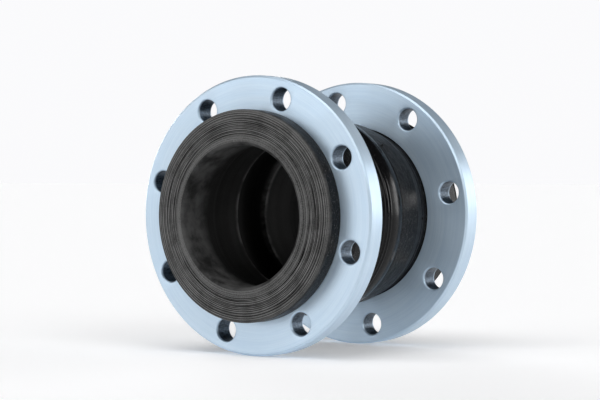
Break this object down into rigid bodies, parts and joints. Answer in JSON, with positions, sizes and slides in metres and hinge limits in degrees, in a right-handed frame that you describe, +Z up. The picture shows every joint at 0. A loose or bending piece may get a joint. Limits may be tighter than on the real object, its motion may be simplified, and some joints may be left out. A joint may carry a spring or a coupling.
{
  "type": "rubber expansion joint",
  "caption": "Single-sphere rubber expansion joint: a cord-reinforced rubber bellows whose collars turn out over two loose steel flanges with bolt holes.",
  "frame": {"origin": "centre of the bellows: on the pipe axis, midway between the two sealing faces", "axes": "+Y along the pipe axis from the front end to the rear end, +Z up as it lies on its flange rims, +X to the right seen from the front"},
  "size_m": [0.28, 0.2504, 0.28],
  "materials": {
    "flange_steel": "turned steel with a pale blue-grey zinc plating, satin, fine circular tool marks",
    "rubber_cover": "glossy moulded black rubber with a parting line, dusty behind it",
    "rubber_liner": "matt dark grey rubber with fine moulded rings on the sealing face",
    "tyre_cord": "rubberised nylon tyre cord laid in crossed plies",
    "bead_steel": "plain bright steel hoop"
  },
  "bodies": {
    "rear_collar": {"rear_collar_liner": "rubber_liner", "rear_collar_cord": "tyre_cord", "rear_collar_cover": "rubber_cover", "rear_bead_ring": "bead_steel"},
    "rear_shoulder": {"rear_shoulder_liner": "rubber_liner", "rear_shoulder_cord": "tyre_cord", "rear_shoulder_cover": "rubber_cover"},
    "rear_arch": {"rear_arch_liner": "rubber_liner", "rear_arch_cord": "tyre_cord", "rear_arch_cover": "rubber_cover"},
    "front_arch": {"front_arch_liner": "rubber_liner", "front_arch_cord": "tyre_cord", "front_arch_cover": "rubber_cover"},
    "front_shoulder": {"front_shoulder_liner": "rubber_liner", "front_shoulder_cord": "tyre_cord", "front_shoulder_cover": "rubber_cover"},
    "front_collar": {"front_collar_liner": "rubber_liner", "front_collar_cord": "tyre_cord", "front_collar_cover": "rubber_cover", "front_bead_ring": "bead_steel"},
    "rear_flange": {"rear_flange": "flange_steel"},
    "front_flange": {"front_flange": "flange_steel"}
  },
  "joints": [
    {"name": "rear_yaw", "type": "hinge", "parent": "rear_collar", "child": "rear_shoulder", "pos_m": [0, 0.0535, 0], "axis": [0, 0, 1], "range_deg": [-7.5, 7.5], "stiffness_Nm_per_rad": 1000, "deforming": ["rear_shoulder_liner", "rear_shoulder_cord", "rear_shoulder_cover"]},
    {"name": "rear_pitch", "type": "hinge", "parent": "rear_shoulder", "child": "rear_arch", "pos_m": [0, 0.0535, 0], "axis": [1, 0, 0], "range_deg": [-7.5, 7.5], "stiffness_Nm_per_rad": 1000, "deforming": ["rear_arch_liner", "rear_arch_cord", "rear_arch_cover"]},
    {"name": "axial", "type": "slide", "parent": "rear_arch", "child": "front_arch", "axis": [0, -1, 0], "range_m": [-0.02, 0.012], "stiffness_N_per_m": 80000, "deforming": ["front_arch_liner", "front_arch_cord", "front_arch_cover"]},
    {"name": "front_pitch", "type": "hinge", "parent": "front_arch", "child": "front_shoulder", "pos_m": [0, -0.0535, 0], "axis": [1, 0, 0], "range_deg": [-7.5, 7.5], "stiffness_Nm_per_rad": 1000, "deforming": ["front_shoulder_liner", "front_shoulder_cord", "front_shoulder_cover"]},
    {"name": "front_yaw", "type": "hinge", "parent": "front_shoulder", "child": "front_collar", "pos_m": [0, -0.0535, 0], "axis": [0, 0, 1], "range_deg": [-7.5, 7.5], "stiffness_Nm_per_rad": 1000},
    {"name": "rear_flange_swivel", "type": "hinge", "parent": "rear_collar", "child": "rear_flange", "pos_m": [0, 0.091, 0], "axis": [0, 1, 0], "continuous": true},
    {"name": "front_flange_swivel", "type": "hinge", "parent": "front_collar", "child": "front_flange", "pos_m": [0, -0.091, 0], "axis": [0, 1, 0], "continuous": true}
  ]
}
